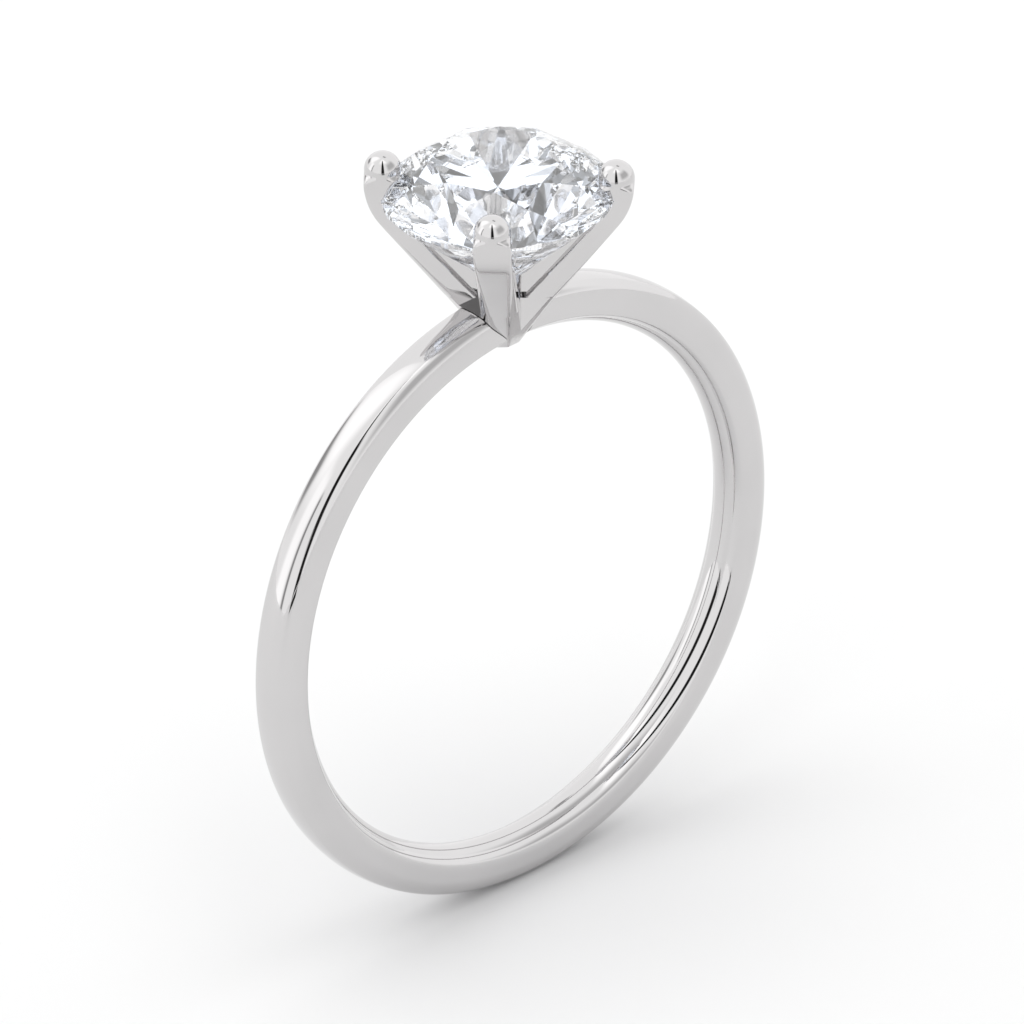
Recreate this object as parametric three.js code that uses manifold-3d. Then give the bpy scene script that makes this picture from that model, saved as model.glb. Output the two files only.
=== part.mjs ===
// Four-claw solitaire engagement ring, size 17 mm inside, in millimetres.
// The origin is the centre of the finger hole. The finger lies along Y,
// +Z points up through the stone, and X runs across the shoulders.
import * as THREE from 'three';
import { mergeVertices } from 'three/addons/utils/BufferGeometryUtils.js';
import Module from 'manifold-3d';

const wasm = await Module();
wasm.setup();

// ---- driving dimensions -------------------------------------------------

const BAND = {
  innerRadius: 8.5,      // finger hole, measured at the middle of the width
  outerRadius: 10.045,
  comfortRadius: 0.52,   // rounding of the face that touches the finger
  comfortHalfWidth: 0.43,
  comfortSteps: 4,
  steps: 96,             // around the finger
};

// One side of the band from the comfort rounding out to the crown, as pairs of
// radius and distance from the middle plane. It is widest, and flat, at 9.3 mm.
const BAND_SIDE = [
  [8.775, 0.53],
  [8.866, 0.644],
  [9, 0.703],
  [9.15, 0.72],
  [9.47, 0.72],
  [9.56, 0.712],
  [9.7, 0.675],
  [9.82, 0.615],
  [9.9, 0.55],
  [9.94, 0.505],
  [9.975, 0.455],
  [9.994, 0.4],
  [10.028, 0.23],
];

const HEAD = {
  bottom: 8.2,           // below the finger surface, trimmed by the bore
  waist: 9.3,            // level between the two straight runs of its sides
  joint: 10.25,          // height at which the claws leave the head base
  notchTop: 11,          // the shank notch reaches clear above the band
  fitGap: 0.02,          // between the head and the shank notch
  jointGap: 0.01,        // between the base and each claw
  valley: 0.806,         // axis to the valley line between two bars
  valleyFloor: 10,       // level at which the valleys over the band stop
  cutLength: 6,          // long enough to cut right through the head
  sides: 48,
  cornerPower: 40,       // sharp but slightly broken corners
};

const STONE = {
  radius: 3.52,
  girdleHeight: 13.56,
  girdleThickness: 0.2,
  tableRatio: 0.57,
  crownAngle: 34.5,
  pavilionAngle: 41.4,
  starRatio: 0.5,
  lowerHalfRatio: 0.77,
  arcSteps: 3,           // girdle edges along one half facet
  seatGap: 0.012,        // between the stone and the claws
};

const CLAW = {
  halfWidth: 0.57,
  tipRadius: 0.565,
  lineStart: [0.84, 8.99],  // a point on the straight outer face: radius, height
  lineSlope: 0.7135,        // radius gained per millimetre of height
  bendStart: 12.75,         // where the outer face starts to bend upright
  bendRadius: 2.4,
  footDepth: 1,             // horizontal depth of the bar at its foot
  barDepth: 0.76,           // the same where the bar starts to bend
  quadrantGap: 0.01,        // to the upright planes that part the claws
  ribHalfWidth: 0.38,       // rib between the bar and the stone
  ribTop: 13,               // above this the bar itself touches the stone
  flankAtFoot: 0.165,       // half width of the outer face at the finger hole
  flankFootHeight: 8.6,
  flankTopHeight: 13.3,     // above this the outer face has its full width
  roundStart: 0.55,         // below the tip centre, where the bar turns round
  cornerPower: 16,
  sides: 24,
  barSteps: 10,
  neckSteps: 4,
  tipSteps: 10,
};

// The claws are bent and pressed down one by one, so each has its own height
// of the tip centre, and its own spread: how far its bend lies farther out.
const CLAW_TIPS = [
  { name: 'claw_front_left', x: -1, y: -1, tip: 14.12, spread: 0 },
  { name: 'claw_back_left', x: -1, y: 1, tip: 14.39, spread: 0.03 },
  { name: 'claw_front_right', x: 1, y: -1, tip: 14.05, spread: 0.14 },
  { name: 'claw_back_right', x: 1, y: 1, tip: 13.34, spread: 0 },
];

const METAL = { color: 0xd9d8d6, metalness: 1.0, roughness: 0.08 };
const DIAMOND = { color: 0xf4f6fa, metalness: 0.0, roughness: 0.02 };

const { clamp, degToRad, lerp, smoothstep } = THREE.MathUtils;
const EIGHTH = Math.PI / 4;
const QUARTER = Math.PI / 2;
const ROUND_POWER = 2;     // four equal planes at this power make a circle
const MERGE_DISTANCE = 1e-5;
const OUT_OF_REACH = 10;

// ---- mesh helpers -------------------------------------------------------

function geometryFrom(points, triangles) {
  const geometry = new THREE.BufferGeometry();
  geometry.setAttribute('position', new THREE.Float32BufferAttribute(points.flat(), 3));
  geometry.setIndex(triangles.flat());
  return geometry;
}

function toManifold(geometry) {
  const bare = geometry.clone();
  bare.deleteAttribute('normal');
  bare.deleteAttribute('uv');
  const merged = mergeVertices(bare, MERGE_DISTANCE);
  const triVerts = [];
  const index = merged.index.array;
  for (let i = 0; i < index.length; i += 3) {
    const [a, b, c] = [index[i], index[i + 1], index[i + 2]];
    if (a !== b && b !== c && c !== a) triVerts.push(a, b, c);
  }
  return new wasm.Manifold(new wasm.Mesh({
    numProp: 3,
    vertProperties: new Float32Array(merged.attributes.position.array),
    triVerts: new Uint32Array(triVerts),
  }));
}

function fromManifold(solid) {
  const mesh = solid.getMesh();
  const geometry = new THREE.BufferGeometry();
  const positions = new Float32Array(mesh.vertProperties);
  geometry.setAttribute('position', new THREE.BufferAttribute(positions, 3));
  geometry.setIndex(new THREE.BufferAttribute(new Uint32Array(mesh.triVerts), 1));
  return geometry;
}

function ringCentre(ring) {
  return [0, 1, 2].map((axis) => ring.reduce((sum, point) => sum + point[axis], 0) / ring.length);
}

// Joins horizontal rings of points, lowest first, and closes both ends.
function loft(rings) {
  const count = rings[0].length;
  const last = (rings.length - 1) * count;
  const points = [...rings.flat(), ringCentre(rings[0]), ringCentre(rings[rings.length - 1])];
  const bottom = last + count;
  const top = bottom + 1;
  const triangles = [];
  for (let k = 0; k < count; k += 1) {
    const next = (k + 1) % count;
    triangles.push([bottom, next, k], [top, last + k, last + next]);
    for (let start = 0; start < last; start += count) {
      const [a, b] = [start + k, start + next];
      triangles.push([a, b, b + count], [a, b + count, a + count]);
    }
  }
  return geometryFrom(points, triangles);
}

// Distance from a centre to the edge of the shape that a set of half planes
// leaves. Each plane is [angle of its normal, distance]. A higher power gives
// sharper corners; four planes at right angles and power 2 give an ellipse.
function edgeDistance(planes, angle, power) {
  let sum = 0;
  for (const [normal, distance] of planes) {
    const reach = Math.cos(angle - normal) / distance;
    if (reach > 0) sum += reach ** power;
  }
  return sum ** (-1 / power);
}

// ---- shank --------------------------------------------------------------

// Cross-section of one half of the band, from the finger side to the crown,
// as pairs of radius and distance from the middle plane.
function bandHalfSection() {
  const half = [];
  const comfortCentre = BAND.innerRadius + BAND.comfortRadius;
  const comfortAngle = Math.asin(BAND.comfortHalfWidth / BAND.comfortRadius);
  for (let i = 0; i <= BAND.comfortSteps; i += 1) {
    const angle = comfortAngle * i / BAND.comfortSteps;
    const radius = comfortCentre - BAND.comfortRadius * Math.cos(angle);
    half.push([radius, BAND.comfortRadius * Math.sin(angle)]);
  }
  return [...half, ...BAND_SIDE, [BAND.outerRadius, 0]];
}

function bandGeometry() {
  const half = bandHalfSection();
  const mirrored = half.slice(1, -1).reverse().map(([radius, width]) => [radius, -width]);
  const loop = [...half, ...mirrored, half[0]].reverse();
  const outline = loop.map(([radius, width]) => new THREE.Vector2(radius, width));
  return new THREE.LatheGeometry(outline, BAND.steps);
}

function buildShank() {
  return toManifold(bandGeometry()).subtract(toManifold(headFrustum(HEAD.fitGap, HEAD.notchTop)));
}

// ---- head base ----------------------------------------------------------

function outerFaceRadius(height) {
  const [radius, base] = CLAW.lineStart;
  const straight = radius + (height - base) * CLAW.lineSlope;
  if (height <= CLAW.bendStart) return straight;
  const lean = Math.atan(CLAW.lineSlope);
  const start = radius + (CLAW.bendStart - base) * CLAW.lineSlope;
  const sine = Math.sin(lean) - (height - CLAW.bendStart) / CLAW.bendRadius;
  const angle = Math.asin(Math.max(0, sine));
  return start + CLAW.bendRadius * (Math.cos(angle) - Math.cos(lean));
}

function outerFaceHalfWidth(height) {
  const rise = (height - CLAW.flankFootHeight) / (CLAW.flankTopHeight - CLAW.flankFootHeight);
  return lerp(CLAW.flankAtFoot, CLAW.halfWidth, Math.min(1, rise));
}

// The base is an upturned square pyramid: distance of its sides from the axis.
function sideDistance(height) {
  return (outerFaceRadius(height) + outerFaceHalfWidth(height)) / Math.SQRT2;
}

function frustumRing(height, grow) {
  const planes = [];
  for (let k = 0; k < 4; k += 1) {
    planes.push([k * QUARTER, sideDistance(height) + grow]);
    planes.push([(2 * k + 1) * EIGHTH, outerFaceRadius(height) + grow]);
  }
  const ring = [];
  for (let k = 0; k < HEAD.sides; k += 1) {
    const angle = 2 * Math.PI * (k + 0.5) / HEAD.sides;
    const reach = edgeDistance(planes, angle, HEAD.cornerPower);
    ring.push([reach * Math.cos(angle), reach * Math.sin(angle), height]);
  }
  return ring;
}

function headFrustum(grow, top) {
  return loft([HEAD.bottom, HEAD.waist, top].map((height) => frustumRing(height, grow)));
}

// Upright wedge between two bars, pointing at the axis from +X.
function valleyWedge(quarterTurns, floor) {
  const size = HEAD.cutLength;
  const corners = [[HEAD.valley, 0], [HEAD.valley + size, size], [HEAD.valley + size, -size]];
  const shape = new THREE.Shape(corners.map(([x, y]) => new THREE.Vector2(x, y)));
  const geometry = new THREE.ExtrudeGeometry(shape, { depth: size, bevelEnabled: false });
  geometry.translate(0, 0, floor);
  geometry.rotateZ(quarterTurns * QUARTER);
  return toManifold(geometry);
}

function fingerBore() {
  const radius = BAND.innerRadius;
  const sides = 4 * BAND.steps;
  return toManifold(new THREE.CylinderGeometry(radius, radius, HEAD.cutLength, sides));
}

function buildHeadBase() {
  return toManifold(headFrustum(0, HEAD.joint))
    .subtract(valleyWedge(0, HEAD.valleyFloor))
    .subtract(valleyWedge(1, HEAD.bottom))
    .subtract(valleyWedge(2, HEAD.valleyFloor))
    .subtract(valleyWedge(3, HEAD.bottom))
    .subtract(fingerBore());
}

// ---- claws --------------------------------------------------------------

// A horizontal ring of points on the edge of a set of half planes.
function ringAround(centre, height, planes, power, scale) {
  const ring = [];
  for (let k = 0; k < CLAW.sides; k += 1) {
    const angle = 2 * Math.PI * (k + 0.5) / CLAW.sides;
    const reach = scale * edgeDistance(planes, angle, power);
    ring.push([centre + reach * Math.cos(angle), reach * Math.sin(angle), height]);
  }
  return ring;
}

// One horizontal ring of a claw that leans along +X, at a height below the
// centre of its tip. The bar is flat-faced and turns into a round tip.
function clawRing(height, tip, spread) {
  const climb = clamp((height - HEAD.joint) / (CLAW.bendStart - HEAD.joint), 0, 1);
  const round = smoothstep(height, tip - CLAW.roundStart, tip);
  const barDepth = lerp(CLAW.footDepth, CLAW.barDepth, climb);
  const halfDepth = lerp(barDepth / 2, CLAW.tipRadius, round);
  const centre = outerFaceRadius(height) - halfDepth;
  const corner = sideDistance(height) - centre / Math.SQRT2 + OUT_OF_REACH * round ** 2;
  const planes = [
    [0, halfDepth],
    [Math.PI, halfDepth],
    [QUARTER, CLAW.halfWidth],
    [-QUARTER, CLAW.halfWidth],
    [EIGHTH, corner],
    [-EIGHTH, corner],
  ];
  const power = lerp(CLAW.cornerPower, ROUND_POWER, round);
  return ringAround(centre + spread * climb, height, planes, power, 1);
}

// Upright rib that fills the space between the bar and the stone.
function ribGeometry() {
  const inside = CLAW.quadrantGap * Math.SQRT2;
  const width = CLAW.ribHalfWidth;
  return loft([HEAD.joint + HEAD.jointGap, CLAW.bendStart, CLAW.ribTop].map((height) => {
    const outside = outerFaceRadius(height) - CLAW.barDepth / 2;
    return [
      [inside, 0, height],
      [inside + width, -width, height],
      [outside, -width, height],
      [outside, width, height],
      [inside + width, width, height],
    ];
  }));
}

function clawGeometry(tip, spread) {
  const rings = [];
  const foot = HEAD.joint + HEAD.jointGap;
  const neck = tip - CLAW.roundStart;
  for (let i = 0; i <= CLAW.barSteps; i += 1) {
    rings.push(clawRing(lerp(foot, neck, i / CLAW.barSteps), tip, spread));
  }
  for (let i = 1; i <= CLAW.neckSteps; i += 1) {
    rings.push(clawRing(lerp(neck, tip, i / CLAW.neckSteps), tip, spread));
  }
  const centre = outerFaceRadius(tip) - CLAW.tipRadius + spread;
  const circle = [0, 1, 2, 3].map((k) => [k * QUARTER, CLAW.tipRadius]);
  for (let i = 1; i < CLAW.tipSteps; i += 1) {
    const angle = QUARTER * i / CLAW.tipSteps;
    const height = tip + CLAW.tipRadius * Math.sin(angle);
    rings.push(ringAround(centre, height, circle, ROUND_POWER, Math.cos(angle)));
  }
  return loft(rings);
}

function buildClaw({ x, y, tip, spread }) {
  const angle = Math.atan2(y, x);
  const bar = toManifold(clawGeometry(tip, spread).rotateZ(angle));
  const rib = toManifold(ribGeometry().rotateZ(angle));
  return bar.add(rib).subtract(toManifold(stoneGeometry(STONE.seatGap)));
}

// ---- diamond ------------------------------------------------------------

function polar(radius, angle, height) {
  return [radius * Math.cos(angle), radius * Math.sin(angle), height];
}

// Height of the plane through three points, above a fourth point's plan.
function heightOnPlane([a, b, c], [x, y]) {
  const corners = [a, b, c].map((corner) => new THREE.Vector3(...corner));
  const plane = new THREE.Plane().setFromCoplanarPoints(...corners);
  return -(plane.normal.x * x + plane.normal.y * y + plane.constant) / plane.normal.z;
}

// A 57-facet round brilliant, grown outward by an allowance.
function stoneGeometry(grow) {
  const radius = STONE.radius + grow;
  const half = STONE.girdleThickness / 2 + grow;
  const top = STONE.girdleHeight + half;
  const bottom = STONE.girdleHeight - half;
  const between = EIGHTH / 2;
  const tableRadius = STONE.tableRatio * radius;
  const crownSlope = Math.tan(degToRad(STONE.crownAngle));
  const pavilionSlope = Math.tan(degToRad(STONE.pavilionAngle));
  const tableHeight = top + (radius - tableRadius) * crownSlope;
  const tableEdge = tableRadius * Math.cos(between);
  const starRadius = tableEdge + STONE.starRatio * (radius - tableEdge);
  const starHeight = top + (radius - starRadius * Math.cos(between)) * crownSlope;
  const lowerRadius = (1 - STONE.lowerHalfRatio) * radius;
  const lowerHeight = bottom - (radius - lowerRadius * Math.cos(between)) * pavilionSlope;

  const points = [polar(0, 0, tableHeight), polar(0, 0, bottom - radius * pavilionSlope)];
  const triangles = [];
  const add = (point) => points.push(point) - 1;
  const table = [];
  const star = [];
  const lower = [];
  for (let k = 0; k < 8; k += 1) {
    table.push(add(polar(tableRadius, k * EIGHTH, tableHeight)));
    star.push(add(polar(starRadius, k * EIGHTH + between, starHeight)));
    lower.push(add(polar(lowerRadius, k * EIGHTH + between, lowerHeight)));
  }
  const girdle = girdleRims(radius, top, bottom, star, lower, points, add);
  const rimCount = girdle.length;
  for (let k = 0; k < 8; k += 1) {
    const next = (k + 1) % 8;
    const before = (k + 7) % 8;
    const main = girdle[k * 2 * STONE.arcSteps];
    triangles.push([0, table[k], table[next]], [table[k], star[k], table[next]]);
    triangles.push([table[k], star[before], main[0]], [table[k], main[0], star[k]]);
    triangles.push([1, main[1], lower[before]], [1, lower[k], main[1]]);
    for (let i = 0; i < 2 * STONE.arcSteps; i += 1) {
      const near = girdle[k * 2 * STONE.arcSteps + i];
      const far = girdle[(k * 2 * STONE.arcSteps + i + 1) % rimCount];
      triangles.push([star[k], near[0], far[0]], [lower[k], far[1], near[1]]);
      triangles.push([near[1], far[1], far[0]], [near[1], far[0], near[0]]);
    }
  }
  return geometryFrom(points, triangles);
}

// Upper and lower edge of the girdle, each point lying in its half facet.
function girdleRims(radius, top, bottom, star, lower, points, add) {
  const rims = [];
  const between = EIGHTH / 2;
  for (let segment = 0; segment < 16; segment += 1) {
    const k = segment >> 1;
    const start = segment * between;
    const ends = [start, start + between];
    const above = [points[star[k]], ...ends.map((angle) => polar(radius, angle, top))];
    const below = [points[lower[k]], ...ends.map((angle) => polar(radius, angle, bottom))];
    for (let i = 0; i < STONE.arcSteps; i += 1) {
      const at = polar(radius, start + between * i / STONE.arcSteps, 0);
      const upper = add([at[0], at[1], heightOnPlane(above, at)]);
      rims.push([upper, add([at[0], at[1], heightOnPlane(below, at)])]);
    }
  }
  return rims;
}

// ---- assembly -----------------------------------------------------------

function namedMesh(name, geometry, finish) {
  const mesh = new THREE.Mesh(geometry, new THREE.MeshStandardMaterial(finish));
  mesh.name = name;
  return mesh;
}

const ring = new THREE.Group();
ring.name = 'engagement_ring';
ring.add(namedMesh('shank', fromManifold(buildShank()), METAL));
ring.add(namedMesh('head_base', fromManifold(buildHeadBase()), METAL));
for (const claw of CLAW_TIPS) {
  ring.add(namedMesh(claw.name, fromManifold(buildClaw(claw)), METAL));
}
ring.add(namedMesh('diamond', stoneGeometry(0), DIAMOND));

export default ring;
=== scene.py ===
"""Looks of the solitaire engagement ring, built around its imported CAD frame.

The finger lies along Y, +Z points up through the stone, and the origin is the
centre of the finger hole. Meshes are built in millimetres and scaled to metres
when they are finished.
"""

import math

import bpy
from mathutils import Matrix, Vector


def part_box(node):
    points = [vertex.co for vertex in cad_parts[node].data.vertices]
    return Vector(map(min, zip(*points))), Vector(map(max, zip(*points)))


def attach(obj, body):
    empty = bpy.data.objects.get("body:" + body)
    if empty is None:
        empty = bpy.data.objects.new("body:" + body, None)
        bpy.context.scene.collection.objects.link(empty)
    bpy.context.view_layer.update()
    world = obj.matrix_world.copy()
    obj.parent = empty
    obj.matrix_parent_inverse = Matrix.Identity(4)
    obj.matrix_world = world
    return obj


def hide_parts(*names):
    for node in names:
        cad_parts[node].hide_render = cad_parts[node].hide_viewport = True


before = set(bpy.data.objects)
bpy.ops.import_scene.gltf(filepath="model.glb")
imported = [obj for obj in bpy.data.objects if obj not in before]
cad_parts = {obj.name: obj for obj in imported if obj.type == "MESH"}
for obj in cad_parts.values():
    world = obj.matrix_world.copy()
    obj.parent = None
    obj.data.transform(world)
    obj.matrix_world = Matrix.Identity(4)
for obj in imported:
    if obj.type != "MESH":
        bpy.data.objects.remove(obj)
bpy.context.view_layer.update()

# ---- driving dimensions, in millimetres -------------------------------------

MM = 0.001
EIGHTH = math.pi / 4
QUARTER = math.pi / 2
ROUND_POWER = 2              # four equal planes at this power make a circle

shank_low, shank_high = (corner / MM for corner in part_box("shank"))
stone_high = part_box("diamond")[1] / MM
base_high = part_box("head_base")[1] / MM

BAND_OUTER = shank_high.x
BAND_HALF_WIDTH = shank_high.y
BAND_INNER = 8.5
BAND_BOTTOM = shank_low.z
COMFORT_RADIUS = 0.52        # rounding of the face that touches the finger
COMFORT_HALF_WIDTH = 0.43
COMFORT_STEPS = 24
BAND_STEPS = 720             # around the finger
INNER_EDGE_SLOPE = 157       # just outside the crease beside the comfort rounding
CURVE_STEPS = 8              # between two knots of the band's side

# One side of the band from the comfort rounding out to the crown: radius,
# distance from the middle plane, and slope of the surface normal in degrees
# from the outward radius. It is widest, and flat, at 9.3 mm.
BAND_SIDE = [
    (8.775, 0.53, 150),
    (8.866, 0.644, 134),
    (9.0, 0.703, 104),
    (9.15, BAND_HALF_WIDTH, 90),
    (9.47, BAND_HALF_WIDTH, 90),
    (9.56, 0.712, 79),
    (9.7, 0.675, 70),
    (9.82, 0.615, 56),
    (9.9, 0.55, 46),
    (9.94, 0.505, 40),
    (9.975, 0.455, 28),
    (9.994, 0.4, 15),
    (10.028, 0.23, 8),
]

HEAD_BOTTOM = 8.2            # below the finger surface, trimmed by the bore
HEAD_JOINT = base_high.z     # height at which the claws leave the head base
NOTCH_TOP = 11.0             # the shank notch reaches clear above the band
FIT_GAP = 0.02               # between the head and the shank notch
VALLEY = 0.806               # axis to the valley line between two bars
VALLEY_FLOOR = 10.0          # level at which the valleys over the band stop
CUT_LENGTH = 6.0             # long enough to cut right through the head
FRUSTUM_STEPS = 24
FRUSTUM_SIDES = 192
FRUSTUM_POWER = 40           # sharp but slightly broken corners

CLAW_HALF_WIDTH = 0.57
CLAW_TIP_RADIUS = 0.565
CLAW_LINE_START = (0.84, 8.99)   # a point on the straight outer face: radius, height
CLAW_LINE_SLOPE = 0.7135     # radius gained per millimetre of height
CLAW_BEND_START = 12.75      # where the outer face starts to bend upright
CLAW_BEND_RADIUS = 2.4
CLAW_FOOT_DEPTH = 1.0        # horizontal depth of the bar at its foot
CLAW_BAR_DEPTH = 0.76        # the same where the bar starts to bend
CLAW_ROUND_START = 0.55      # below the tip centre, where the bar turns round
CLAW_POWER = 20
CLAW_SIDES = 160
BAR_STEPS = 48
NECK_STEPS = 16
TIP_STEPS = 32
QUADRANT_GAP = 0.01          # to the upright planes that part the claws
RIB_HALF_WIDTH = 0.38        # rib between the bar and the stone
RIB_TOP = 13.0               # above this the bar itself touches the stone
FLANK_AT_FOOT = 0.165        # half width of the outer face at the finger hole
FLANK_FOOT_HEIGHT = 8.6
FLANK_TOP_HEIGHT = 13.3      # above this the outer face has its full width
OUT_OF_REACH = 10.0

STONE_RADIUS = stone_high.x
GIRDLE_THICKNESS = 0.2
TABLE_RATIO = 0.57
CROWN_ANGLE = math.radians(34.5)
PAVILION_ANGLE = math.radians(41.4)
STAR_RATIO = 0.5
LOWER_HALF_RATIO = 0.77
GIRDLE_ARC_STEPS = 12
SEAT_GAP = 0.012             # between the stone and the claws
GIRDLE_TOP = stone_high.z - STONE_RADIUS * (1 - TABLE_RATIO) * math.tan(CROWN_ANGLE)

METAL_DARK = (0.615, 0.606, 0.608)
METAL_LIGHT = (0.64, 0.63, 0.632)
BAND_SHARP_ANGLE = 15        # degrees between faces above which an edge stays sharp
HEAD_SHARP_ANGLE = 30
FACET_SHARP_ANGLE = 1
STONE_TINT = (0.975, 0.985, 1.0)
DIAMOND_IOR = 2.418
BUMP_DISTANCE = 0.000005     # metres
FLOOR_WHITE = (0.895, 0.895, 0.895)
# Painted shadow: the floor's colour turns grey under the ring, over this radius.
PAINTED_FLOOR_SHADOW = (0.79, 0.79, 0.795)    # right under the ring
PAINTED_FLOOR_SHADOW_RADIUS = 15.0
STAND_BLACK = (0.01, 0.01, 0.01)
BACKDROP_STRENGTH = 1.1
LIGHT_BOUNCES = 40

# The sky in which the metal and the floor stand. It is softly patched: each
# patch has a range of azimuths from the front toward +X, a range of
# elevations, the width of its soft edge in degrees, and a brightness.
DOME_RADIUS = 1500.0
DOME_LOWEST = -6             # elevation of the rim, in degrees
DOME_STEP = 2                # degrees between two points of a dome
SKY = 1.2
PATCHES = [
    (-180, -135, 26, 72, 14, 1.65),  # large soft box behind on the left
    (-135, -116, -5, 40, 5, 1.55),   # bright edge of the left soft box
    (-114, -109, -5, 36, 1.5, 0.3),  # gap beside it
    (-80, 10, 60, 88, 10, 1.6),      # overhead box at the front
    (-8, 50, 12, 50, 12, 0.65),      # grey screen to the right of the camera
    (-50, -32, -6, 80, 2, 0.02),     # dark camera stand
    (-180, -155, 8, 24, 5, 0.4),     # grey stand at the back
    (90, 130, 66, 74, 3, 0.4),       # boom over the table
]
STAND_AZIMUTH = -41.0
STAND_HALF_ANGLE = 8.0
STAND_FOOT = (150.0, 400.0)  # the stand's dark foot on the table: from, to
STAND_FOOT_THICKNESS = 0.1

# The sky that shows in the stone: waves of light and dark reflectors.
REFLECTORS_AROUND = 3
REFLECTORS_UP = 5
REFLECTOR_EDGE = (-0.45, 0.0)    # where their soft edges start and end
STONE_SKY_DARK = 0.0
STONE_SKY_LIGHT = 1.5
STONE_SKY_TINT = (0.84, 0.9, 1.0)

# The camera: degrees from the front toward +X, up from level, and of roll.
CAMERA_AZIMUTH = -41.262
CAMERA_ELEVATION = 30.444
CAMERA_ROLL = -2.066
CAMERA_DISTANCE = 600.0
CAMERA_SIDE = 0.066          # of its aim, to the right of the finger's axis
CAMERA_RISE = 2.13           # of its aim, above the finger's axis
CAMERA_LENS = 697.5914
CAMERA_SENSOR = 36.0

# Direction of each claw, and how far its bend lies farther out than the rest.
CLAWS = {
    "claw_front_left": ((-1, -1), 0.0),
    "claw_back_left": ((-1, 1), 0.03),
    "claw_front_right": ((1, -1), 0.14),
    "claw_back_right": ((1, 1), 0.0),
}


# ---- mesh helpers -----------------------------------------------------------

def lerp(a, b, t):
    return a + (b - a) * t


def smoothstep(value, low, high):
    t = min(max((value - low) / (high - low), 0.0), 1.0)
    return t * t * (3 - 2 * t)


def mesh_object(name, points, faces):
    mesh = bpy.data.meshes.new(name)
    mesh.from_pydata([tuple(p) for p in points], [], faces)
    mesh.validate()
    piece = bpy.data.objects.new(name, mesh)
    bpy.context.scene.collection.objects.link(piece)
    return piece


def combine(piece, operation, *tools):
    """Joins each tool to the piece, or cuts it from it, and removes the tools."""
    for tool in tools:
        modifier = piece.modifiers.new("combine", "BOOLEAN")
        modifier.operation = operation
        modifier.solver = "EXACT"
        modifier.object = tool
        graph = bpy.context.evaluated_depsgraph_get()
        mesh = bpy.data.meshes.new_from_object(piece.evaluated_get(graph))
        piece.modifiers.clear()
        piece.data = mesh
        bpy.data.objects.remove(tool)


def finish_mesh(piece, sharp_angle):
    """Scales a piece to metres and shades it smooth up to an edge angle."""
    piece.data.transform(Matrix.Scale(MM, 4))
    piece.data.shade_smooth()
    piece.data.set_sharp_from_angle(angle=math.radians(sharp_angle))
    piece.data.update()


def loft(name, rings):
    """Joins horizontal rings of points, lowest first, and closes both ends."""
    count = len(rings[0])
    points = [point for ring in rings for point in ring]
    faces = []
    for i in range(len(rings) - 1):
        for k in range(count):
            a, b = i * count + k, i * count + (k + 1) % count
            faces.append((a, b, b + count, a + count))
    last = (len(rings) - 1) * count
    faces.append(tuple(reversed(range(count))))
    faces.append(tuple(range(last, last + count)))
    return mesh_object(name, points, faces)


def edge_distance(planes, angle, power):
    """Distance from a centre to the edge of the shape that half planes leave."""
    total = 0.0
    for normal, distance in planes:
        reach = math.cos(angle - normal) / distance
        if reach > 0:
            total += reach ** power
    return total ** (-1 / power)


def ring_around(centre, height, planes, power, sides, scale=1.0):
    ring = []
    for k in range(sides):
        angle = 2 * math.pi * (k + 0.5) / sides
        reach = scale * edge_distance(planes, angle, power)
        ring.append((centre + reach * math.cos(angle), reach * math.sin(angle), height))
    return ring


# ---- shank ------------------------------------------------------------------

def arc(centre, radius, start, end, steps):
    """Points (radius from the finger's axis, width) along an arc."""
    angles = [lerp(start, end, i / steps) for i in range(steps + 1)]
    return [(centre[0] + radius * math.cos(a), centre[1] + radius * math.sin(a)) for a in angles]


def bend(start, end):
    """Points after the start, along a curve that keeps both knots' slopes."""
    (r0, w0, n0), (r1, w1, n1) = start, end
    handle = math.hypot(r1 - r0, w1 - w0) / 3
    t0, t1 = math.radians(n0), math.radians(n1)
    first = (r0 + handle * math.sin(t0), w0 - handle * math.cos(t0))
    second = (r1 - handle * math.sin(t1), w1 + handle * math.cos(t1))
    points = []
    for i in range(1, CURVE_STEPS + 1):
        t = i / CURVE_STEPS
        weights = ((1 - t) ** 3, 3 * t * (1 - t) ** 2, 3 * t * t * (1 - t), t ** 3)
        corners = ((r0, w0), first, second, (r1, w1))
        points.append(tuple(sum(k * c[axis] for k, c in zip(weights, corners)) for axis in (0, 1)))
    return points


def band_half_section():
    """Half of the band's section, from the middle of the finger side to the crown."""
    comfort_centre = (BAND_INNER + COMFORT_RADIUS, 0.0)
    comfort_angle = math.asin(COMFORT_HALF_WIDTH / COMFORT_RADIUS)
    inner = arc(comfort_centre, COMFORT_RADIUS, math.pi, math.pi - comfort_angle, COMFORT_STEPS)
    knots = [(*inner[-1], INNER_EDGE_SLOPE), *BAND_SIDE, (BAND_OUTER, 0.0, 0)]
    half = inner
    for start, end in zip(knots, knots[1:]):
        half = half + bend(start, end)
    return half


def band():
    half = band_half_section()
    section = half + [(radius, -width) for radius, width in reversed(half[1:-1])]
    count = len(section)
    points = []
    faces = []
    for step in range(BAND_STEPS):
        angle = 2 * math.pi * step / BAND_STEPS
        for radius, width in section:
            points.append((radius * math.sin(angle), width, radius * math.cos(angle)))
        following = (step + 1) % BAND_STEPS
        for i in range(count):
            j = (i + 1) % count
            faces.append((step * count + i, following * count + i,
                          following * count + j, step * count + j))
    return mesh_object("band", points, faces)


# ---- head -------------------------------------------------------------------

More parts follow.
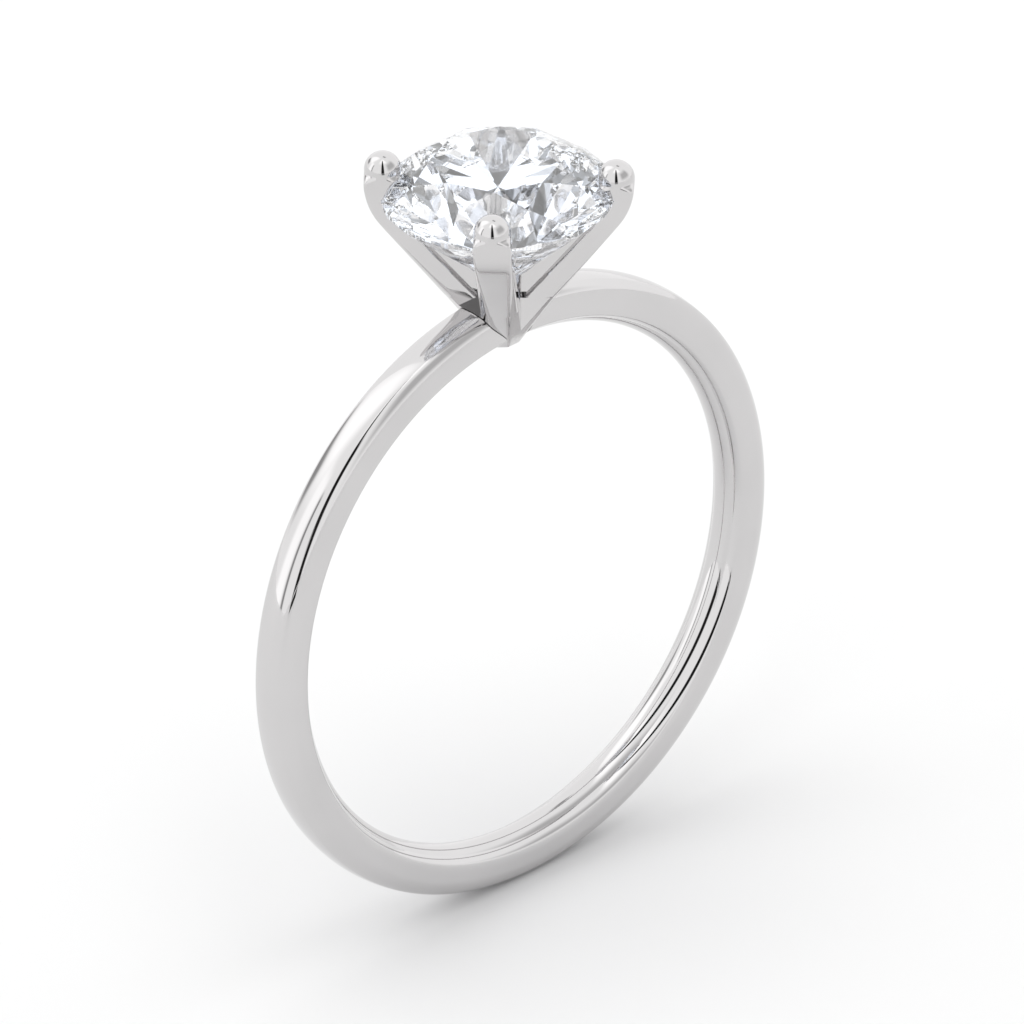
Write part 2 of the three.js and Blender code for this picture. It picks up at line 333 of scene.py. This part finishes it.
def outer_face_radius(height):
    """Distance of a claw's outer face from the ring's upright axis."""
    radius, base = CLAW_LINE_START
    if height <= CLAW_BEND_START:
        return radius + (height - base) * CLAW_LINE_SLOPE
    lean = math.atan(CLAW_LINE_SLOPE)
    start = radius + (CLAW_BEND_START - base) * CLAW_LINE_SLOPE
    sine = math.sin(lean) - (height - CLAW_BEND_START) / CLAW_BEND_RADIUS
    angle = math.asin(max(0.0, sine))
    return start + CLAW_BEND_RADIUS * (math.cos(angle) - math.cos(lean))


def outer_face_half_width(height):
    rise = (height - FLANK_FOOT_HEIGHT) / (FLANK_TOP_HEIGHT - FLANK_FOOT_HEIGHT)
    return lerp(FLANK_AT_FOOT, CLAW_HALF_WIDTH, min(1.0, rise))


def side_distance(height):
    """Distance of the base's sides from the ring's upright axis."""
    return (outer_face_radius(height) + outer_face_half_width(height)) / math.sqrt(2)


def frustum(name, grow, top):
    """Upturned square pyramid of the head base, with flattened corners."""
    rings = []
    for i in range(FRUSTUM_STEPS + 1):
        height = lerp(HEAD_BOTTOM, top, i / FRUSTUM_STEPS)
        planes = []
        for k in range(4):
            planes.append((k * QUARTER, side_distance(height) + grow))
            planes.append(((2 * k + 1) * EIGHTH, outer_face_radius(height) + grow))
        rings.append(ring_around(0.0, height, planes, FRUSTUM_POWER, FRUSTUM_SIDES))
    return loft(name, rings)


def prism(name, corners, low, high):
    count = len(corners)
    points = [(x, y, z) for z in (low, high) for x, y in corners]
    faces = [tuple(reversed(range(count))), tuple(range(count, 2 * count))]
    for i in range(count):
        j = (i + 1) % count
        faces.append((i, j, j + count, i + count))
    return mesh_object(name, points, faces)


def valley_wedge(quarter_turns, floor):
    """Upright wedge between two bars, pointing at the axis from +X."""
    size = CUT_LENGTH
    corners = [(VALLEY, 0.0), (VALLEY + size, -size), (VALLEY + size, size)]
    tool = prism("valley", corners, floor, floor + size)
    tool.data.transform(Matrix.Rotation(quarter_turns * QUARTER, 4, "Z"))
    return tool


def finger_bore():
    steps = BAND_STEPS
    points = []
    for y in (-CUT_LENGTH / 2, CUT_LENGTH / 2):
        for k in range(steps):
            angle = 2 * math.pi * k / steps
            points.append((BAND_INNER * math.sin(angle), y, BAND_INNER * math.cos(angle)))
    faces = [tuple(reversed(range(steps))), tuple(range(steps, 2 * steps))]
    for k in range(steps):
        following = (k + 1) % steps
        faces.append((k, following, following + steps, k + steps))
    return mesh_object("bore", points, faces)


def claw_ring(height, tip, spread):
    """One level of a claw that leans along +X: a flat-faced bar with a round tip."""
    climb = min(max((height - HEAD_JOINT) / (CLAW_BEND_START - HEAD_JOINT), 0.0), 1.0)
    rounding = smoothstep(height, tip - CLAW_ROUND_START, tip)
    bar_depth = lerp(CLAW_FOOT_DEPTH, CLAW_BAR_DEPTH, climb)
    half_depth = lerp(bar_depth / 2, CLAW_TIP_RADIUS, rounding)
    centre = outer_face_radius(height) - half_depth
    corner = side_distance(height) - centre / math.sqrt(2) + OUT_OF_REACH * rounding ** 2
    planes = [
        (0.0, half_depth), (math.pi, half_depth),
        (QUARTER, CLAW_HALF_WIDTH), (-QUARTER, CLAW_HALF_WIDTH),
        (EIGHTH, corner), (-EIGHTH, corner),
    ]
    power = lerp(CLAW_POWER, ROUND_POWER, rounding)
    return ring_around(centre + spread * climb, height, planes, power, CLAW_SIDES)


def rib():
    """Upright rib that fills the space between the bar and the stone."""
    inside = QUADRANT_GAP * math.sqrt(2)
    width = RIB_HALF_WIDTH
    rings = []
    for height in (HEAD_JOINT, CLAW_BEND_START, RIB_TOP):
        outside = outer_face_radius(height) - CLAW_BAR_DEPTH / 2
        corners = [(inside, 0), (inside + width, -width), (outside, -width),
                   (outside, width), (inside + width, width)]
        rings.append([(x, y, height) for x, y in corners])
    return loft("rib", rings)


def claw(name, direction, spread):
    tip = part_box(name)[1].z / MM - CLAW_TIP_RADIUS
    neck = tip - CLAW_ROUND_START
    heights = [lerp(HEAD_JOINT, neck, i / BAR_STEPS) for i in range(BAR_STEPS + 1)]
    heights += [lerp(neck, tip, i / NECK_STEPS) for i in range(1, NECK_STEPS + 1)]
    rings = [claw_ring(height, tip, spread) for height in heights]
    centre = outer_face_radius(tip) - CLAW_TIP_RADIUS + spread
    circle = [(k * QUARTER, CLAW_TIP_RADIUS) for k in range(4)]
    for i in range(1, TIP_STEPS):
        angle = QUARTER * i / TIP_STEPS
        height = tip + CLAW_TIP_RADIUS * math.sin(angle)
        rings.append(ring_around(centre, height, circle, ROUND_POWER, CLAW_SIDES, math.cos(angle)))
    piece = loft(name, rings)
    combine(piece, "UNION", rib())
    piece.data.transform(Matrix.Rotation(math.atan2(direction[1], direction[0]), 4, "Z"))
    return piece


# ---- diamond ----------------------------------------------------------------

def polar(radius, angle, height):
    return Vector((radius * math.cos(angle), radius * math.sin(angle), height))


def height_on_plane(corners, point):
    normal = (corners[1] - corners[0]).cross(corners[2] - corners[0])
    offset = normal.dot(corners[0])
    return (offset - normal.x * point.x - normal.y * point.y) / normal.z


def stone(name, grow):
    """A 57-facet round brilliant, grown outward by an allowance."""
    radius = STONE_RADIUS + grow
    top = GIRDLE_TOP + grow
    bottom = GIRDLE_TOP - GIRDLE_THICKNESS - grow
    between = EIGHTH / 2
    crown_slope, pavilion_slope = math.tan(CROWN_ANGLE), math.tan(PAVILION_ANGLE)
    table_radius = TABLE_RATIO * radius
    table_height = top + (radius - table_radius) * crown_slope
    table_edge = table_radius * math.cos(between)
    star_radius = table_edge + STAR_RATIO * (radius - table_edge)
    star_height = top + (radius - star_radius * math.cos(between)) * crown_slope
    lower_radius = (1 - LOWER_HALF_RATIO) * radius
    lower_height = bottom - (radius - lower_radius * math.cos(between)) * pavilion_slope

    culet = polar(0, 0, bottom - radius * pavilion_slope)
    table = [polar(table_radius, k * EIGHTH, table_height) for k in range(8)]
    star = [polar(star_radius, k * EIGHTH + between, star_height) for k in range(8)]
    lower = [polar(lower_radius, k * EIGHTH + between, lower_height) for k in range(8)]
    points = [culet, *table, *star, *lower]
    rims = girdle_rims(points, star, lower, radius, top, bottom)
    return mesh_object(name, points, brilliant_faces(rims))


def girdle_rims(points, star, lower, radius, top, bottom):
    """Adds the girdle's upper and lower edge, each point lying in its half facet.

    Gives the number of the upper and of the lower point at each place round it.
    """
    between = EIGHTH / 2
    rims = []
    for segment in range(16):
        k = segment // 2
        start = segment * between
        above = [star[k], polar(radius, start, top), polar(radius, start + between, top)]
        below = [lower[k], polar(radius, start, bottom), polar(radius, start + between, bottom)]
        for i in range(GIRDLE_ARC_STEPS):
            at = polar(radius, start + between * i / GIRDLE_ARC_STEPS, 0)
            upper_at = Vector((at.x, at.y, height_on_plane(above, at)))
            lower_at = Vector((at.x, at.y, height_on_plane(below, at)))
            rims.append((len(points), len(points) + 1))
            points += [upper_at, lower_at]
    return rims


def brilliant_faces(rims):
    """Faces over the points culet, 8 of the table, 8 stars, 8 lower halves, girdle."""
    culet = 0
    table = range(1, 9)
    star = range(9, 17)
    lower = range(17, 25)
    steps = GIRDLE_ARC_STEPS
    faces = [tuple(table)]
    for k in range(8):
        following, before = (k + 1) % 8, (k + 7) % 8
        upper_main, lower_main = rims[k * 2 * steps]
        faces.append((table[k], star[k], table[following]))
        faces.append((table[k], star[before], upper_main, star[k]))
        faces.append((culet, lower[k], lower_main, lower[before]))
        for half in range(2):
            first = (2 * k + half) * steps
            span = [rims[(first + i) % len(rims)] for i in range(steps + 1)]
            faces.append((star[k], *(rim[0] for rim in span)))
            faces.append((lower[k], *(rim[1] for rim in reversed(span))))
        for i in range(2 * steps):
            near = rims[k * 2 * steps + i]
            far = rims[(k * 2 * steps + i + 1) % len(rims)]
            faces.append((near[1], far[1], far[0], near[0]))
    return faces


# ---- materials --------------------------------------------------------------

def node_material(name):
    material = bpy.data.materials.new(name)
    material.use_nodes = True
    shader = material.node_tree.nodes["Principled BSDF"]
    return material, material.node_tree, shader


def noise(tree, scale, detail):
    """Noise in the piece's own coordinates. The scale is in cells per metre."""
    place_in = tree.nodes.new("ShaderNodeTexCoord")
    texture = tree.nodes.new("ShaderNodeTexNoise")
    texture.inputs["Scale"].default_value = scale
    texture.inputs["Detail"].default_value = detail
    tree.links.new(place_in.outputs["Object"], texture.inputs["Vector"])
    return texture.outputs["Fac"]


def drive_colour(tree, shader, value, low, high):
    ramp = tree.nodes.new("ShaderNodeValToRGB")
    ramp.color_ramp.elements[0].position = 0.35
    ramp.color_ramp.elements[0].color = (*low, 1)
    ramp.color_ramp.elements[1].position = 0.65
    ramp.color_ramp.elements[1].color = (*high, 1)
    tree.links.new(value, ramp.inputs["Fac"])
    tree.links.new(ramp.outputs["Color"], shader.inputs["Base Color"])


def drive_roughness(tree, shader, value, low, high):
    spread = tree.nodes.new("ShaderNodeMapRange")
    spread.inputs["From Min"].default_value = 0.3
    spread.inputs["From Max"].default_value = 0.7
    spread.inputs["To Min"].default_value = low
    spread.inputs["To Max"].default_value = high
    tree.links.new(value, spread.inputs["Value"])
    tree.links.new(spread.outputs["Result"], shader.inputs["Roughness"])


def drive_bump(tree, shader, value, strength):
    bump = tree.nodes.new("ShaderNodeBump")
    bump.inputs["Strength"].default_value = strength
    bump.inputs["Distance"].default_value = BUMP_DISTANCE
    tree.links.new(value, bump.inputs["Height"])
    tree.links.new(bump.outputs["Normal"], shader.inputs["Normal"])


def polished_metal():
    material, tree, shader = node_material("white_gold")
    shader.inputs["Metallic"].default_value = 1.0
    drive_colour(tree, shader, noise(tree, scale=260, detail=3), METAL_DARK, METAL_LIGHT)
    drive_roughness(tree, shader, noise(tree, scale=2200, detail=5), low=0.03, high=0.07)
    drive_bump(tree, shader, noise(tree, scale=900, detail=2), strength=0.04)
    return material


def diamond_glass():
    material, tree, shader = node_material("diamond_glass")
    shader.inputs["Metallic"].default_value = 0.0
    shader.inputs["IOR"].default_value = DIAMOND_IOR
    shader.inputs["Transmission Weight"].default_value = 1.0
    drive_colour(tree, shader, noise(tree, scale=400, detail=2), STONE_TINT, (1.0, 1.0, 1.0))
    drive_roughness(tree, shader, noise(tree, scale=1500, detail=3), low=0.0, high=0.004)
    drive_bump(tree, shader, noise(tree, scale=600, detail=2), strength=0.002)
    return material


# ---- assembly ---------------------------------------------------------------

def place(piece, node, material, sharp_angle):
    """Finishes a piece and puts it in the place of its CAD node."""
    finish_mesh(piece, sharp_angle)
    piece.data.materials.clear()
    piece.data.materials.append(material)
    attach(piece, "root")
    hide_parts(node)


def build_ring():
    metal = polished_metal()
    shank = band()
    shank.name = "band"
    combine(shank, "DIFFERENCE", frustum("notch", FIT_GAP, NOTCH_TOP))
    place(shank, "shank", metal, BAND_SHARP_ANGLE)

    base = frustum("setting_base", 0.0, HEAD_JOINT)
    valleys = [valley_wedge(k, (VALLEY_FLOOR, HEAD_BOTTOM)[k % 2]) for k in range(4)]
    combine(base, "DIFFERENCE", *valleys, finger_bore())
    place(base, "head_base", metal, HEAD_SHARP_ANGLE)

    for name, (direction, spread) in CLAWS.items():
        piece = claw(name, direction, spread)
        combine(piece, "DIFFERENCE", stone("seat", SEAT_GAP))
        piece.name = "fine_" + name
        place(piece, name, metal, HEAD_SHARP_ANGLE)

    gem = stone("brilliant", 0.0)
    place(gem, "diamond", diamond_glass(), FACET_SHARP_ANGLE)


# ---- studio -----------------------------------------------------------------

def floor_colour_with_painted_shadow(tree):
    """White with a painted shadow: it turns slightly grey towards the foot of the ring."""
    place_at = tree.nodes.new("ShaderNodeMapping")
    place_at.inputs["Scale"].default_value = (1 / (PAINTED_FLOOR_SHADOW_RADIUS * MM),) * 3
    place_at.inputs["Location"].default_value = (0, 0, -BAND_BOTTOM / PAINTED_FLOOR_SHADOW_RADIUS)
    coordinates = tree.nodes.new("ShaderNodeTexCoord")
    tree.links.new(coordinates.outputs["Object"], place_at.inputs["Vector"])
    painted_shadow_fall_off = tree.nodes.new("ShaderNodeTexGradient")
    painted_shadow_fall_off.gradient_type = "SPHERICAL"
    tree.links.new(place_at.outputs["Vector"], painted_shadow_fall_off.inputs["Vector"])
    ramp = tree.nodes.new("ShaderNodeValToRGB")
    ramp.color_ramp.interpolation = "EASE"
    ramp.color_ramp.elements[0].color = (*FLOOR_WHITE, 1)
    ramp.color_ramp.elements[1].color = (*PAINTED_FLOOR_SHADOW, 1)
    tree.links.new(painted_shadow_fall_off.outputs["Fac"], ramp.inputs["Fac"])
    return ramp.outputs["Color"]


def floor():
    size = DOME_RADIUS
    z = BAND_BOTTOM
    corners = [(-size, -size, z), (size, -size, z), (size, size, z), (-size, size, z)]
    plane = mesh_object("floor", corners, [(0, 1, 2, 3)])
    plane.data.transform(Matrix.Scale(MM, 4))
    material, tree, shader = node_material("floor_white_painted_shadow")
    # The floor's colour carries a painted shadow that greys it towards the ring's foot.
    tree.links.new(floor_colour_with_painted_shadow(tree), shader.inputs["Base Color"])
    shader.inputs["Roughness"].default_value = 0.6
    shader.inputs["Specular IOR Level"].default_value = 0.2
    plane.data.materials.append(material)


def stand_foot():
    """Dark wedge on the table, in front of the ring and out of view."""
    rim = []
    for reach, sides in zip(STAND_FOOT, ((-1, 1), (1, -1))):
        for side in sides:
            angle = math.radians(STAND_AZIMUTH + side * STAND_HALF_ANGLE)
            rim.append((reach * math.sin(angle), -reach * math.cos(angle)))
    wedge = prism("stand_foot", rim, BAND_BOTTOM, BAND_BOTTOM + STAND_FOOT_THICKNESS)
    wedge.data.transform(Matrix.Scale(MM, 4))
    material, _, shader = node_material("stand_black")
    shader.inputs["Base Color"].default_value = (*STAND_BLACK, 1)
    shader.inputs["Specular IOR Level"].default_value = 0.0
    wedge.data.materials.append(material)
    wedge.visible_camera = False


def patch_cover(value, low, high, soft):
    """How far a patch covers a value: 1 inside, 0 outside, soft between."""
    return smoothstep(value, low - soft, low + soft) * (1 - smoothstep(value, high - soft, high + soft))


def sky_brightness(azimuth, elevation):
    level = SKY
    for left, right, low, high, soft, brightness in PATCHES:
        cover = patch_cover(azimuth, left, right, soft) * patch_cover(elevation, low, high, soft)
        level = lerp(level, brightness, cover)
    return level


def stone_sky_brightness(azimuth, elevation):
    """Light and dark reflectors round the stone, which give its facets contrast."""
    around = math.sin(math.radians(azimuth) * REFLECTORS_AROUND)
    upward = math.cos(math.radians(elevation) * REFLECTORS_UP)
    return lerp(STONE_SKY_DARK, STONE_SKY_LIGHT, smoothstep(around + upward, *REFLECTOR_EDGE))


def dome(name, brightness, tint):
    """A glowing half dome that the camera doesn't see directly."""
    azimuths = range(-180, 181, DOME_STEP)
    elevations = range(DOME_LOWEST, 91, DOME_STEP)
    points, glow, faces = [], [], []
    for elevation in elevations:
        for azimuth in azimuths:
            a, e = math.radians(azimuth), math.radians(elevation)
            points.append((DOME_RADIUS * math.sin(a) * math.cos(e),
                           -DOME_RADIUS * math.cos(a) * math.cos(e), DOME_RADIUS * math.sin(e)))
            glow.append(brightness(azimuth, elevation))
    row = len(azimuths)
    for i in range(len(elevations) - 1):
        for k in range(row - 1):
            a = i * row + k
            faces.append((a, a + 1, a + row + 1, a + row))
    piece = mesh_object(name, points, faces)
    piece.data.transform(Matrix.Scale(MM, 4))
    attribute = piece.data.attributes.new("glow", "FLOAT", "POINT")
    attribute.data.foreach_set("value", glow)
    piece.data.materials.append(glow_material(name, tint))
    piece.visible_camera = False
    return piece


def studio_domes():
    """One dome lights the metal and the floor, the other shows in the stone."""
    studio = dome("studio_dome", sky_brightness, (1, 1, 1))
    studio.visible_transmission = False
    stone_sky = dome("stone_dome", stone_sky_brightness, STONE_SKY_TINT)
    stone_sky.visible_glossy = False
    stone_sky.visible_diffuse = False
    stone_sky.visible_shadow = False


def glow_material(name, tint):
    material = bpy.data.materials.new(name)
    material.use_nodes = True
    material.cycles.emission_sampling = "NONE"
    tree = material.node_tree
    tree.nodes.clear()
    strength = tree.nodes.new("ShaderNodeAttribute")
    strength.attribute_name = "glow"
    emission = tree.nodes.new("ShaderNodeEmission")
    emission.inputs["Color"].default_value = (*tint, 1)
    output = tree.nodes.new("ShaderNodeOutputMaterial")
    tree.links.new(strength.outputs["Fac"], emission.inputs["Strength"])
    tree.links.new(emission.outputs["Emission"], output.inputs["Surface"])
    return material


def studio_world():
    world = bpy.data.worlds.new("studio")
    bpy.context.scene.world = world
    world.use_nodes = True
    background = world.node_tree.nodes["Background"]
    background.inputs["Color"].default_value = (1, 1, 1, 1)
    background.inputs["Strength"].default_value = BACKDROP_STRENGTH


def camera():
    azimuth, elevation, roll = map(math.radians, (CAMERA_AZIMUTH, CAMERA_ELEVATION, CAMERA_ROLL))
    back = Vector((math.sin(azimuth) * math.cos(elevation),
                   -math.cos(azimuth) * math.cos(elevation), math.sin(elevation)))
    right = Vector((math.cos(azimuth), math.sin(azimuth), 0))
    up = back.cross(right)
    location = (back * CAMERA_DISTANCE + right * CAMERA_SIDE + up * CAMERA_RISE) * MM
    rolled_right = right * math.cos(roll) + up * math.sin(roll)
    rolled_up = up * math.cos(roll) - right * math.sin(roll)
    data = bpy.data.cameras.new("camera")
    data.sensor_width = CAMERA_SENSOR
    data.lens = CAMERA_LENS
    view = bpy.data.objects.new("camera", data)
    axes = Matrix((rolled_right, rolled_up, back)).transposed()
    view.matrix_world = Matrix.Translation(location) @ axes.to_4x4()
    bpy.context.scene.collection.objects.link(view)
    bpy.context.scene.camera = view


build_ring()
floor()
stand_foot()
studio_domes()
studio_world()
camera()

scene = bpy.context.scene
scene.view_settings.view_transform = "Standard"
scene.cycles.max_bounces = LIGHT_BOUNCES
scene.cycles.glossy_bounces = LIGHT_BOUNCES
scene.cycles.transmission_bounces = LIGHT_BOUNCES
